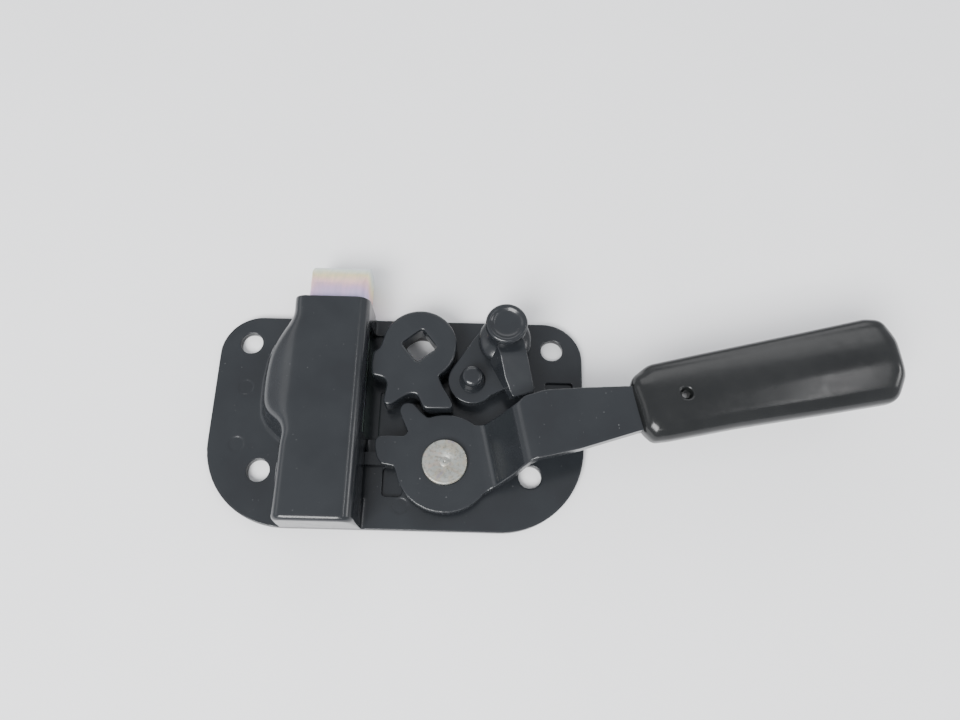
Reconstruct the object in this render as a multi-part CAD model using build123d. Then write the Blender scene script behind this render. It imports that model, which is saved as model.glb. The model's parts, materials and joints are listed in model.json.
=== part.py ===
"""Spring-bolt slam latch on a pressed plate, lying on its back plate.

Frame: origin at the middle of the plate's back face, +X towards the grip,
+Y the way the bolt points, +Z out of the plate. All sizes are in millimetres.
"""
import os
from math import atan2, cos, degrees, pi, radians, sin, tan

from build123d import *

os.makedirs("parts", exist_ok=True)

# ---- plate ---------------------------------------------------------------
PLATE_W = 150.0
PLATE_H = 86.8
SHEET = 1.5                     # each of the two sheets
TOP_CORNER_R = 16.5
LOW_CORNER_R = 33.5
HOLE_R = 4.5
TOP_HOLES = (62.5, 31.7)        # half spacing, height
LOW_HOLES = (53.5, -21.6)
PLATE_Z = 2 * SHEET

# ---- drawn channel and side bulge -----------------------------------------
CHANNEL_LEFT = -42.4            # outer walls at the plate
CHANNEL_RIGHT = -11.4
CHANNEL_TOP = 23.5
CHANNEL_EDGE_R = 4.0
WALL_DRAFT = 1.3                # degrees
BULGE_TOP_Z = 17.5              # outer edge of the bulge's sloping roof
BULGE_DRAFT = 11.0
WINDOW_Y = (-8.0, 36.5)         # opening in the channel's right wall and foot
WINDOW_RIGHT = -7.6
WINDOW_TOP = 15.8
LUG_SLOT_Y = (-31.8, -13.2)
LUG_SLOT_TOP = 6.6
SPRING_SLOT = (-0.4, -24.8, 7.8, 11.4)   # centre x, y, width, height
STOP_SLOT = (65.3, 15.9, 11.0, 3.0)

# ---- bolt -------------------------------------------------------------------
BOLT_X = (-36.8, -13.6)
BOLT_Z = (1.9, 21.4)
BOLT_TIP_Y = 62.6
BOLT_TAIL_Y = -20.0
NOSE_FACE_Z = 13.0              # height of the blunt tip
NOSE_R = 15.5
BOLT_EDGE_R = 3.6
SPRING_BORE_R = 6.6
SPRING_BORE_END = 10.0
BOLT_TRAVEL = 11.3

# ---- drive lug ----------------------------------------------------------------
LUG_X = (-17.6, -1.6)
LUG_Y = (-18.8, -13.8)
LUG_Z = (3.5, 5.9)

# ---- handle -------------------------------------------------------------------
PIVOT = (20.2, -18.5)
ARM_ANGLE = 12.5                # degrees from +X
HUB_R = 19.0
HUB_Z = (6.2, 11.7)
STRAP = HUB_Z[1] - HUB_Z[0]
ARM_TOP = 31.0
BEND_1 = 17.6                   # distance of the bends from the pivot, along the arm
BEND_2 = 29.6
PIVOT_R = 8.0
RIVET_HEAD_R = 8.75
RIVET_HEAD_H = 1.6
BUSH_FLANGE_R = 9.5
DRIVE_PIN = (-4.0, -11.0)
DRIVE_PIN_R = 2.4
SPRING_WIRE_R = 0.8
SPRING_HOLE = (6.0, -14.2)      # blind hole in the hub's underside for the spring's end
SPRING_HOLE_TOP = 9.0

# ---- grip ---------------------------------------------------------------------
GRIP_START = 74.5               # along the arm from the pivot
GRIP_LENGTH = 103.0
GRIP_W = 30.5
GRIP_T = 15.0
GRIP_HOLE_S = 93.5
GRIP_HOLE_R = 2.0

# ---- follower -------------------------------------------------------------------
FOLLOWER = (8.4, 28.3)
FOLLOWER_Z = (3.4, 15.0)
FOLLOWER_WEB_Z = 6.2
FOLLOWER_R = 15.2
SQUARE = 10.2
SQUARE_TURN = 38.7              # degrees
SPINDLE_HOLE_R = 7.5

# ---- lock lever -------------------------------------------------------------------
LOCK_PIN = (29.95, 15.0)
LOCK_Z = (7.2, 11.7)
LOCK_R = 9.6
KNOB = (42.7, 32.4)
KNOB_TOP = 30.6
KNOB_R = 8.2
BAR_TOP = 15.2

RUN_FIT = 0.05                  # radial clearance of the running fits


def save(shape, name):
    """Write one sub-part to its own file."""
    export_step(shape, f"parts/{name}.step")


def block(x, y, z):
    """A box from three (low, high) pairs."""
    solid = Box(x[1] - x[0], y[1] - y[0], z[1] - z[0])
    return Pos((x[0] + x[1]) / 2, (y[0] + y[1]) / 2, (z[0] + z[1]) / 2) * solid


def disc(centre, radius, z):
    """A cylinder along Z between two heights."""
    return Pos(centre[0], centre[1], (z[0] + z[1]) / 2) * Cylinder(radius, z[1] - z[0])


def rod_y(x, z, radius, y):
    """A cylinder along Y between two places."""
    turned = Rot(90, 0, 0) * Cylinder(radius, y[1] - y[0])
    return Pos(x, (y[0] + y[1]) / 2, z) * turned


def slab(points, z, corner=None):
    """A polygon given in plan, extruded between two heights, its upright edges rounded."""
    face = Polygon(*points, align=None)
    solid = Pos(0, 0, z[0]) * extrude(face, amount=z[1] - z[0], dir=(0, 0, 1))
    if corner:
        solid = fillet(solid.edges().filter_by(Axis.Z), corner)
    return solid


def polar(centre, radius, angle):
    """A point at a radius and an angle in degrees about a centre."""
    return (centre[0] + radius * cos(radians(angle)), centre[1] + radius * sin(radians(angle)))


def plate_sheet(z):
    """The plate's outline with the four mounting holes and the spindle hole."""
    sheet = block((-PLATE_W / 2, PLATE_W / 2), (-PLATE_H / 2, PLATE_H / 2), z)
    upright = sheet.edges().filter_by(Axis.Z)
    sheet = fillet(upright.filter_by(lambda e: e.center().Y > 0), TOP_CORNER_R)
    upright = sheet.edges().filter_by(Axis.Z)
    low = upright.filter_by(lambda e: e.center().Y < -PLATE_H / 2 + 1)
    sheet = fillet(low, LOW_CORNER_R)
    for half, height in (TOP_HOLES, LOW_HOLES):
        for side in (-1, 1):
            sheet -= disc((side * half, height), HOLE_R, z)
    return sheet


def rivet_holes(z):
    """Holes of the pivot rivet and the lock pin in a sheet."""
    return disc(PIVOT, 5.0, z) + disc(LOCK_PIN, 3.0, z)


def back_sheet():
    """Flat sheet that closes the back of the case."""
    z = (0, SHEET)
    return plate_sheet(z) - disc(FOLLOWER, SPINDLE_HOLE_R, z) - rivet_holes(z)


def channel_solid(inset):
    """The drawn channel as a solid, taken in by the sheet's thickness for the inside."""
    top = CHANNEL_TOP - inset
    lean = (top - PLATE_Z) * tan(radians(WALL_DRAFT))
    left = CHANNEL_LEFT + inset
    right = CHANNEL_RIGHT - inset
    section = Polygon((left, SHEET), (right, SHEET), (right - lean, top), (left + lean, top), align=None)
    low = -PLATE_H / 2 + 0.2 + inset
    high = PLATE_H / 2 + (2.0 if inset else 0.0)
    solid = extrude(Plane.XZ * section, amount=-(high - low))
    solid = Pos(0, low, 0) * solid
    radius = CHANNEL_EDGE_R - inset
    along = solid.edges().filter_by(Axis.Y).group_by(Axis.Z)[-1]
    solid = fillet(along, radius)
    if not inset:
        rim = solid.edges().group_by(Axis.Y)[0].filter_by(lambda e: e.center().Z > top - 1)
        solid = fillet(rim, 1.5)
    return solid


def bulge_solid(inset):
    """The bulge at the channel's left side, under a roof that slopes away from the channel."""
    outline = [(-36, 45), (-44.6, 40.5), (-50.2, 32.0), (-53.6, 24.2), (-54.4, 15.0), (-54.4, 6.5),
               (-53.6, 0.6), (-51.2, -3.6), (-47.0, -7.4), (-36, -14)]
    face = Polygon(*outline, align=None)
    if inset:
        face = offset(face, amount=-inset)
    height = CHANNEL_TOP - SHEET
    solid = Pos(0, 0, SHEET) * extrude(face, amount=height, taper=BULGE_DRAFT)
    slope = (CHANNEL_TOP - BULGE_TOP_Z) / 12.0
    drop = inset * (1 + slope)
    roof = [(-39.4, CHANNEL_TOP - drop), (-64.4, CHANNEL_TOP - drop - 25 * slope), (-64.4, 40), (-39.4, 40)]
    cutter = Pos(0, -60, 0) * extrude(Plane.XZ * Polygon(*roof, align=None), amount=-130)
    solid -= cutter
    reach = -38.0 if inset else -39.4
    return solid & block((-70, reach), (-60, PLATE_H / 2), (0, CHANNEL_TOP - drop))


def front_case():
    """Pressed front sheet: flat plate, drawn channel for the bolt, bulge and windows."""
    case = plate_sheet((SHEET, PLATE_Z)) + channel_solid(0) + bulge_solid(0)
    case -= channel_solid(SHEET)
    case -= bulge_solid(SHEET)
    foot = (SHEET - 1, WINDOW_TOP)
    case -= block((CHANNEL_RIGHT - 4.0, WINDOW_RIGHT), WINDOW_Y, foot)
    case -= block((CHANNEL_RIGHT - 4.0, CHANNEL_RIGHT + 1.2), LUG_SLOT_Y, (PLATE_Z, LUG_SLOT_TOP))
    for x, y, width, height in (SPRING_SLOT, STOP_SLOT):
        case -= Pos(x, y, SHEET * 1.5) * Box(width, height, SHEET)
    z = (SHEET, PLATE_Z)
    return case - disc(FOLLOWER, SPINDLE_HOLE_R, z) - rivet_holes(z)


def nose_profile():
    """Side view of the bolt with its rounded ramp, in the YZ plane."""
    ramp_start = BOLT_TIP_Y - 14.0
    centre_z = BOLT_Z[1] - NOSE_R
    middle = polar((ramp_start, centre_z), NOSE_R, 60)
    tip = (BOLT_TIP_Y, centre_z + (NOSE_R ** 2 - 14.0 ** 2) ** 0.5)
    ramp = ThreePointArc((ramp_start, BOLT_Z[1]), middle, tip)
    front = Polyline(tip, (BOLT_TIP_Y, BOLT_Z[0]), (BOLT_TAIL_Y, BOLT_Z[0]), (BOLT_TAIL_Y, BOLT_Z[1]),
                     (ramp_start, BOLT_Z[1]))
    return make_face([ramp, front])


def bolt():
    """Bolt with a ramped nose, a stop wing in the bulge and a bore for its spring."""
    body = Pos(BOLT_X[0], 0, 0) * extrude(Plane.YZ * nose_profile(), amount=BOLT_X[1] - BOLT_X[0])
    bar = block(BOLT_X, (BOLT_TAIL_Y, BOLT_TIP_Y + 1), BOLT_Z)
    bar = fillet(bar.edges().filter_by(Axis.Y).group_by(Axis.Z)[-1], BOLT_EDGE_R)
    body = body & bar
    wing = [(BOLT_X[0] + 1, 33.0), (-41.4, 33.0), (-46.4, 25.0), (-47.6, 20.0), (-47.6, 12.0),
            (BOLT_X[0] + 1, 12.0)]
    body += slab(wing, (BOLT_Z[0] + 0.4, 12.5))
    mid_x = sum(BOLT_X) / 2
    mid_z = sum(BOLT_Z) / 2
    body -= rod_y(mid_x, mid_z, SPRING_BORE_R, (BOLT_TAIL_Y, SPRING_BORE_END))
    body -= block(LUG_X, LUG_Y, LUG_Z)
    for y in lug_rivet_places():
        body -= disc((BOLT_X[1] - 2.0, y), 0.9, (BOLT_Z[0], LUG_Z[1] + 2))
    return body


def lug_rivet_places():
    """Places along Y of the two small rivets of the drive lug."""
    middle = sum(LUG_Y) / 2
    return (middle - 1.2, middle + 1.2)


def bolt_drive_lug():
    """Flat steel lug let into the bolt's side, pushed by the handle's drive pin."""
    lug = block(LUG_X, LUG_Y, LUG_Z)
    corners = lug.edges().filter_by(Axis.Z).group_by(Axis.X)[-1]
    lug = fillet(corners, 1.2)
    for y in lug_rivet_places():
        lug -= disc((BOLT_X[1] - 2.0, y), 0.9, LUG_Z)
    return lug


def lug_rivets():
    """Two small rivets that hold the lug in the bolt."""
    z = (BOLT_Z[0], LUG_Z[1] + 2)
    return Compound([disc((BOLT_X[1] - 2.0, y), 0.9, z) for y in lug_rivet_places()])


def bolt_spring():
    """Compression spring between the channel's closed end and the bolt's bore."""
    wire = 0.75
    coil_r = 5.1
    start = -PLATE_H / 2 + 3.6
    length = SPRING_BORE_END - start - 2 * wire
    path = Helix(pitch=length / 11, height=length, radius=coil_r)
    section = Plane(origin=path @ 0, z_dir=path % 0) * Circle(wire)
    coil = sweep(section, path=path, is_frenet=True)
    mid_x = sum(BOLT_X) / 2
    mid_z = sum(BOLT_Z) / 2
    return Pos(mid_x, start + wire, mid_z) * Rot(-90, 0, 0) * coil


def spring_guide():
    """Flanged rod at the channel's closed end that carries the bolt spring."""
    mid_x = sum(BOLT_X) / 2
    mid_z = sum(BOLT_Z) / 2
    end = -PLATE_H / 2 + 0.2 + SHEET
    flange = block((mid_x - 9, mid_x + 9), (end, end + 1.6), (BOLT_Z[0], BOLT_Z[1] - 0.6))
    return flange + rod_y(mid_x, mid_z, 3.6, (end + 1.6, -4.0))


def arm_frame(solid):
    """Turn a solid drawn along +X from the pivot into the arm's direction."""
    return Pos(PIVOT[0], PIVOT[1], 0) * Rot(0, 0, ARM_ANGLE) * solid


def strap_side():
    """Side view of the handle's bent strap, along the arm and up."""
    end = GRIP_START + GRIP_LENGTH - 14.0
    low = [(0, HUB_Z[0]), (BEND_1 + 1.6, HUB_Z[0]), (BEND_2 + 1.6, ARM_TOP - STRAP), (end, ARM_TOP - STRAP)]
    high = [(end, ARM_TOP), (BEND_2 - 1.6, ARM_TOP), (BEND_1 - 1.6, HUB_Z[1]), (0, HUB_Z[1])]
    return Polygon(*low, *high, align=None)


def handle_lever():
    """Handle strap: toothed hub, riser and arm, cut from one thick blank."""
    side = Pos(0, 40, 0) * extrude(Plane.XZ * strap_side(), amount=80, dir=(0, -1, 0))
    end = GRIP_START + GRIP_LENGTH - 14.0
    plan = [(0, -16.5), (20.0, -13.2), (34.0, -11.6), (52.0, -11.4), (GRIP_START, -8.8), (end, -8.8),
            (end, 8.8), (GRIP_START, 8.8), (52.0, 10.2), (38.0, 12.0), (31.0, 10.6), (16.0, 11.6), (8, 13.5)]
    outline = slab(plan, (0, ARM_TOP + 1))
    arm = arm_frame(side & outline)
    hub = disc(PIVOT, HUB_R, HUB_Z) & block((-30, 37.6), (-60, 20), (0, 40))
    left = [(6.0, -6.4), (4.0, -8.2), (-3.6, -8.2), (-6.2, -8.9), (-7.2, -11.0), (-7.0, -13.6), (-6.0, -16.8),
            (-4.2, -19.6), (0.6, -20.0), (2.4, -24.0), (14, -24.0), (16, -8)]
    upper = [(5.4, -6.6), (3.0, -1.4), (1.6, 1.4), (1.8, 3.2), (3.1, 4.8), (5.0, 5.2), (7.0, 4.6), (10.6, 0.9),
             (13.0, -1.0), (20, -4.0), (14, -14)]
    hub += slab(left, HUB_Z) + slab(upper, HUB_Z)
    lever = hub + arm
    lever -= disc(PIVOT, PIVOT_R + RUN_FIT, HUB_Z)
    lever -= disc(DRIVE_PIN, 1.8, HUB_Z)
    lever -= disc(SPRING_HOLE, SPRING_WIRE_R + 0.3, (HUB_Z[0], SPRING_HOLE_TOP))
    lever -= arm_frame(Pos(GRIP_HOLE_S, 0, ARM_TOP) * Cylinder(GRIP_HOLE_R, 40))
    return lever


def grip_envelope(shrink=0.0):
    """The grip's outer form: an oval bar with rounded ends."""
    bar = Box(GRIP_LENGTH - 2 * shrink, GRIP_W - 2 * shrink, GRIP_T - 2 * shrink)
    bar = fillet(bar.edges().filter_by(Axis.Z), 9.0)
    bar = fillet(bar.edges().group_by(Axis.Z)[-1], 5.6)
    bar = fillet(bar.edges().group_by(Axis.Z)[0], 5.6)
    return Pos(GRIP_START + GRIP_LENGTH / 2, 0, ARM_TOP - STRAP / 2) * bar


def handle_grip():
    """Dipped plastic grip over the end of the strap, with a small vent hole."""
    end = GRIP_START + GRIP_LENGTH - 14.0
    pocket = block((GRIP_START - 1, end), (-8.8, 8.8), (ARM_TOP - STRAP, ARM_TOP))
    grip = grip_envelope() - pocket
    grip -= Pos(GRIP_HOLE_S, 0, ARM_TOP) * Cylinder(GRIP_HOLE_R, 40)
    return arm_frame(grip)


def pivot_rivet():
    """Headed rivet that the handle turns about, set flush at the back."""
    shank = disc(PIVOT, 5.0, (0, PLATE_Z)) + disc(PIVOT, 5.6, (PLATE_Z, HUB_Z[1] + 0.2))
    head = disc(PIVOT, RIVET_HEAD_R, (HUB_Z[1] + 0.2, HUB_Z[1] + 0.2 + RIVET_HEAD_H))
    head = chamfer(head.edges().group_by(Axis.Z)[-1], 0.3)
    return shank + head


def pivot_bush():
    """Flanged bush on the rivet: the hub turns on it, clear of the plate."""
    flange = disc(PIVOT, BUSH_FLANGE_R, (PLATE_Z, PLATE_Z + 0.8))
    sleeve = disc(PIVOT, PIVOT_R, (PLATE_Z + 0.8, HUB_Z[1] + 0.2))
    return flange + sleeve - disc(PIVOT, 5.6, (PLATE_Z, HUB_Z[1] + 0.2))


def hub_washer():
    """Thin washer between the bush's flange and the return spring."""
    z = (HUB_Z[0] - 0.5, HUB_Z[0] - 0.1)
    return disc(PIVOT, 11.5, z) - disc(PIVOT, PIVOT_R + 0.1, z)


def return_spring():
    """Torsion spring under the hub: one coil, a leg in the plate's slot and a leg bent up into the hub."""
    mid_z = PLATE_Z + 0.15 + SPRING_WIRE_R
    radius = 10.6
    foot = (SPRING_SLOT[0] + 3.0, SPRING_SLOT[1] - 1.2)
    ring = Pos(PIVOT[0], PIVOT[1], mid_z) * Torus(radius, SPRING_WIRE_R)
    gap = slab([PIVOT, polar(PIVOT, 20, 176), polar(PIVOT, 20, 196)], (0, 10))
    ring -= gap
    start = polar(PIVOT, radius, 196.5)
    leg = Vector(start[0] - foot[0], start[1] - foot[1], 0)
    lower = Plane(origin=(foot[0], foot[1], mid_z), z_dir=leg) * Circle(SPRING_WIRE_R)
    ring += extrude(lower, amount=leg.length)
    upper_start = polar(PIVOT, radius, 175.5)
    leg = Vector(SPRING_HOLE[0] - upper_start[0], SPRING_HOLE[1] - upper_start[1], 0)
    upper = Plane(origin=(upper_start[0], upper_start[1], mid_z), z_dir=leg) * Circle(SPRING_WIRE_R)
    ring += extrude(upper, amount=leg.length)
    return ring + disc(SPRING_HOLE, SPRING_WIRE_R, (mid_z - SPRING_WIRE_R, SPRING_HOLE_TOP - 0.3))


def drive_pin():
    """Pin riveted in the hub's left tooth, which pushes the bolt's lug."""
    head = disc(DRIVE_PIN, DRIVE_PIN_R, (LUG_Z[0] + 0.1, HUB_Z[0]))
    return head + disc(DRIVE_PIN, 1.8, (HUB_Z[0], HUB_Z[1]))


def follower_outline():
    """Plan of the follower: a round head with a side lobe and two legs."""
    body = disc(FOLLOWER, FOLLOWER_R, (FOLLOWER_WEB_Z, FOLLOWER_Z[1]))
    lower = [(-9.0, 27.6), (-10.6, 25.0), (-10.4, 16.2), (-8.6, 15.3), (-6.4, 15.2), (-4.6, 13.6), (-3.9, 11.4),
             (-4.7, 6.6), (-3.4, 4.2), (-1.6, 4.0), (1.5, 6.2), (4.6, 8.2), (6.6, 8.2), (8.3, 7.2),
             (11.2, 2.4), (21.0, 2.6), (17.9, 11.2), (16.6, 14.6), (17.2, 18.2), (20.5, 21.6), (22.6, 24.6),
             (12, 36), (0, 34)]
    return body + slab(lower, (FOLLOWER_WEB_Z, FOLLOWER_Z[1]), 0.9)


def follower():
    """Spindle follower: thick toothed cam with a square socket, running on the spindle bush."""
    body = follower_outline() + disc(FOLLOWER, 12.2, FOLLOWER_Z)
    body -= disc(FOLLOWER, 9.5 + RUN_FIT, (FOLLOWER_Z[0], FOLLOWER_WEB_Z + 0.8))
    socket = Rot(0, 0, SQUARE_TURN) * Box(SQUARE, SQUARE, 40)
    return body - Pos(FOLLOWER[0], FOLLOWER[1], 0) * socket


def spindle_bush():
    """Collar staked round the plate's spindle hole; the follower turns on it."""
    z = (PLATE_Z, FOLLOWER_WEB_Z + 0.6)
    collar = disc(FOLLOWER, 9.5, z) - disc(FOLLOWER, SPINDLE_HOLE_R, z)
    groove = (PLATE_Z + 1.2, PLATE_Z + 2.0)
    return collar - (disc(FOLLOWER, 9.6, groove) - disc(FOLLOWER, 9.0, groove))


def snap_ring():
    """Open wire ring in the collar's groove that keeps the follower on."""
    z = (PLATE_Z + 1.25, PLATE_Z + 1.95)
    ring = disc(FOLLOWER, 9.45, z) - disc(FOLLOWER, 9.05, z)
    mouth = Pos(FOLLOWER[0], FOLLOWER[1] - 9.2, z[0] + 0.4) * Box(5.0, 2.0, 2.0)
    return ring - mouth


def teardrop(z, grow=0.0):
    """Plan of the lock lever's plate: a round end about the pin that widens to the knob."""
    ring_r = LOCK_R + grow
    knob_r = 9.4 + grow
    dx = KNOB[0] - LOCK_PIN[0]
    dy = KNOB[1] - LOCK_PIN[1]
    heading = degrees(atan2(dy, dx))
    sides = [polar(LOCK_PIN, ring_r, heading + 90), polar(LOCK_PIN, ring_r, heading - 90),
             polar(KNOB, knob_r, heading - 90), polar(KNOB, knob_r, heading + 90)]
    return slab(sides, z) + disc(LOCK_PIN, ring_r, z) + disc(KNOB, knob_r, z)


def lock_plate():
    """Flat lever plate of the lock, from its pin to the knob and under the handle arm."""
    tail = [(30.0, 6.4), (35.2, 7.9), (43.8, 12.2), (50.6, 8.6), (54.4, 11.6), (50.0, 24.0), (42.0, 24.0),
            (30.0, 18.0)]
    plate = teardrop(LOCK_Z) + slab(tail, LOCK_Z)
    plate -= disc(LOCK_PIN, 3.6 + RUN_FIT, LOCK_Z)
    return plate - disc(KNOB, 3.0, LOCK_Z)


def lock_bar():
    """Tapered bar on the lever plate, from the knob's foot to under the arm."""
    z = (LOCK_Z[1], BAR_TOP)
    bar = slab([(39.6, 24.0), (47.6, 7.9), (54.2, 10.4), (50.0, 27.0)], z)
    return bar - disc(KNOB, KNOB_R - 0.6, z)


def lock_knob():
    """Turned knob with a flared foot, a waist and a dished top, staked in the lever plate."""
    z = LOCK_Z[1]
    side = [(0, LOCK_Z[0]), (3.0, LOCK_Z[0]), (3.0, z), (7.5, z), (7.2, z + 1.6), (5.4, z + 5.0), (5.2, z + 9.0),
            (6.6, z + 13.0), (KNOB_R, z + 16.6), (KNOB_R, KNOB_TOP - 1.0), (7.4, KNOB_TOP), (6.4, KNOB_TOP),
            (5.0, KNOB_TOP - 0.7), (0, KNOB_TOP - 0.9)]
    profile = Plane.XZ * Polygon(*side, align=None)
    return Pos(KNOB[0], KNOB[1], 0) * revolve(profile, Axis.Z)


def lock_pin():
    """Shouldered pin with a rounded head that the lock lever turns on."""
    base = disc(LOCK_PIN, 3.0, (0, PLATE_Z)) + disc(LOCK_PIN, 5.4, (PLATE_Z, PLATE_Z + 3.4))
    shank = disc(LOCK_PIN, 3.6, (PLATE_Z + 3.4, LOCK_Z[1] + 0.2))
    head = disc(LOCK_PIN, 4.6, (LOCK_Z[1] + 0.2, LOCK_Z[1] + 6.4))
    head = fillet(head.edges().group_by(Axis.Z)[-1], 1.6)
    return base + shank + head


def lock_wave_washer():
    """Friction washer under the lock lever that holds it where it is put."""
    z = (PLATE_Z + 3.4, LOCK_Z[0])
    return disc(LOCK_PIN, 5.4, z) - disc(LOCK_PIN, 3.6, z)


SUB_PARTS = {
    "back_sheet": back_sheet,
    "front_case": front_case,
    "bolt": bolt,
    "bolt_drive_lug": bolt_drive_lug,
    "lug_rivets": lug_rivets,
    "bolt_spring": bolt_spring,
    "spring_guide": spring_guide,
    "handle_lever": handle_lever,
    "handle_grip": handle_grip,
    "pivot_rivet": pivot_rivet,
    "pivot_bush": pivot_bush,
    "hub_washer": hub_washer,
    "return_spring": return_spring,
    "drive_pin": drive_pin,
    "follower": follower,
    "spindle_bush": spindle_bush,
    "snap_ring": snap_ring,
    "lock_plate": lock_plate,
    "lock_bar": lock_bar,
    "lock_knob": lock_knob,
    "lock_pin": lock_pin,
    "lock_wave_washer": lock_wave_washer,
}

for node, make in SUB_PARTS.items():
    save(make(), node)
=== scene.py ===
"""Builds the looks of a spring-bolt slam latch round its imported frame."""
from __future__ import annotations

import json
import logging
import math
from dataclasses import dataclass, field
from enum import Enum
from typing import Callable, Sequence

import bmesh
import bpy
from mathutils import Matrix, Vector

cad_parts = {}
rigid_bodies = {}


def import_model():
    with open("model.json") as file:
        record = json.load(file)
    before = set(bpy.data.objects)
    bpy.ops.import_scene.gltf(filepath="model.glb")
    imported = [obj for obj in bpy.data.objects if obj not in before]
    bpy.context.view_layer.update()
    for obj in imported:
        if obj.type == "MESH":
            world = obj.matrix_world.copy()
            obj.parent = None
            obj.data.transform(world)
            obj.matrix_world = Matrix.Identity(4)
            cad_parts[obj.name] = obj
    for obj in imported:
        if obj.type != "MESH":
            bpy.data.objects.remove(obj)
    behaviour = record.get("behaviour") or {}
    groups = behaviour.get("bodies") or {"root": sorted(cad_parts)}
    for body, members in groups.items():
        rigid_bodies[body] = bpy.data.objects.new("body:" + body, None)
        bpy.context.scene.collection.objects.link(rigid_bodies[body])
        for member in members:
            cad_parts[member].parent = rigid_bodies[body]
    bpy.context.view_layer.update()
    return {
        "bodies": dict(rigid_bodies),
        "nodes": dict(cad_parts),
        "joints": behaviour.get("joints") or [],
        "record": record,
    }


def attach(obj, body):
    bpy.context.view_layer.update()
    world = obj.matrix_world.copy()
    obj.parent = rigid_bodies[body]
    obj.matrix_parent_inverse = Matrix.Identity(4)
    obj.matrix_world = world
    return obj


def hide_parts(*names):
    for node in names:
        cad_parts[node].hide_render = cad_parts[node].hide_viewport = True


log = logging.getLogger("latch")
MM = 0.001
PIVOT = (20.2, -18.5)      # the handle's axis in plan
SPINDLE = (8.4, 28.3)      # the follower's axis in plan
Point = tuple[float, float]
Outline = list[Point]
Colour = tuple[float, float, float]


# ---- shop tools ----------------------------------------------------------------------------

class Plane(Enum):
    """The plane an outline is drawn in, and the way it is pulled."""

    PLAN = "plan"          # drawn in x and y, pulled up z
    SECTION = "section"    # drawn in x and z, pulled along y
    SIDE = "side"          # drawn in y and z, pulled along x

    def place(self, u: float, v: float, pull: float) -> Vector:
        """Put a drawn point in space.

        Args:
            u: first coordinate of the drawing, in millimetres.
            v: second coordinate of the drawing.
            pull: how far the point is along the pull.

        Returns:
            The point in metres.
        """
        spots = {Plane.PLAN: (u, v, pull), Plane.SECTION: (u, pull, v), Plane.SIDE: (pull, u, v)}
        return Vector(spots[self]) * MM


class Join(Enum):
    """How two solids are combined."""

    ADD = "UNION"
    CUT = "DIFFERENCE"
    KEEP = "INTERSECT"


def polar(centre: Point, radius: float, angle: float) -> Point:
    """Return the point at a radius and an angle in degrees about a centre."""
    turn = math.radians(angle)
    return (centre[0] + radius * math.cos(turn), centre[1] + radius * math.sin(turn))


def ring(centre: Point, radius: float, count: int = 64) -> Outline:
    """Return a circle as an outline."""
    return [polar(centre, radius, 360.0 * i / count) for i in range(count)]


def rounded(points: Sequence[Point], radius: float | Sequence[float], steps: int = 8) -> Outline:
    """Round the corners of an outline.

    Args:
        points: the corners, in order.
        radius: one radius for all corners, or one for each.
        steps: pieces in each rounded corner.

    Returns:
        The outline with an arc at every corner that has a radius.
    """
    nearly_straight = math.pi - 0.03
    most_of_a_side = 0.48
    result: Outline = []
    count = len(points)
    for i in range(count):
        corner = Vector(points[i])
        before = Vector(points[i - 1]) - corner
        after = Vector(points[(i + 1) % count]) - corner
        size = radius[i] if isinstance(radius, (list, tuple)) else radius
        angle = before.angle(after)
        if size <= 0 or angle > nearly_straight:
            result.append(tuple(corner))
            continue
        reach = min(size / math.tan(angle / 2), most_of_a_side * min(before.length, after.length))
        size = reach * math.tan(angle / 2)
        before.normalize()
        after.normalize()
        centre = corner + (before + after).normalized() * (size / math.sin(angle / 2))
        start = corner + before * reach - centre
        end = corner + after * reach - centre
        sweep = start.angle_signed(end)
        for step in range(steps + 1):
            turn = Matrix.Rotation(-sweep * step / steps, 2)
            result.append(tuple(centre + turn @ start))
    return result


def deselect() -> None:
    """Leave edit mode and select nothing."""
    if bpy.context.object and bpy.context.object.mode != "OBJECT":
        bpy.ops.object.mode_set(mode="OBJECT")
    bpy.ops.object.select_all(action="DESELECT")


def pick(piece: bpy.types.Object) -> None:
    """Make one object the only selected one."""
    deselect()
    piece.select_set(True)
    bpy.context.view_layer.objects.active = piece


def pull(name: str, outline: Outline, low: float, high: float,
         plane: Plane = Plane.PLAN) -> bpy.types.Object:
    """Pull an outline into a solid.

    Args:
        name: name of the new object.
        outline: the drawing, in millimetres.
        low: start of the pull.
        high: end of the pull.
        plane: the plane of the drawing.

    Returns:
        The solid, its place in its mesh.
    """
    deselect()
    bpy.ops.mesh.primitive_circle_add(vertices=len(outline), fill_type="NGON")
    piece = bpy.context.object
    piece.name = name
    for vertex, (u, v) in zip(piece.data.vertices, outline):
        vertex.co = plane.place(u, v, low)
    bpy.ops.object.mode_set(mode="EDIT")
    bpy.ops.mesh.select_all(action="SELECT")
    way = plane.place(0, 0, high - low)
    bpy.ops.mesh.extrude_region_move(TRANSFORM_OT_translate={"value": tuple(way)})
    bpy.ops.mesh.select_all(action="SELECT")
    bpy.ops.mesh.normals_make_consistent(inside=False)
    bpy.ops.object.mode_set(mode="OBJECT")
    return piece


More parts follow.
